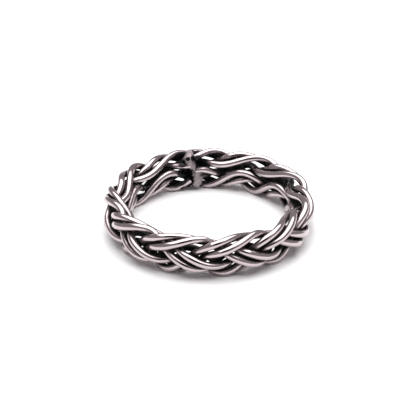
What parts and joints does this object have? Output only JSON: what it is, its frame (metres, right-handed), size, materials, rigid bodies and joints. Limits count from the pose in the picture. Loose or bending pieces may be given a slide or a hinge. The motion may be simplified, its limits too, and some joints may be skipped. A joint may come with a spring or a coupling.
{
  "type": "braided band ring",
  "caption": "Finger ring of round silver wires plaited into an openwork band and closed by a soldered joint.",
  "frame": {"origin": "on the surface that the ring lies on, under the middle of the finger hole", "axes": "+Z along the finger's axis, up from the surface; the side that faces the viewer in the picture is at -Y and its right at +X"},
  "size_m": [0.023, 0.023, 0.0047],
  "materials": {
    "silver": "polished",
    "solder": "matte"
  },
  "bodies": {
    "root": {"strand_1": "silver", "strand_2": "silver", "strand_3": "silver", "strand_4": "silver", "solder_joint": "solder"}
  },
  "joints": []
}
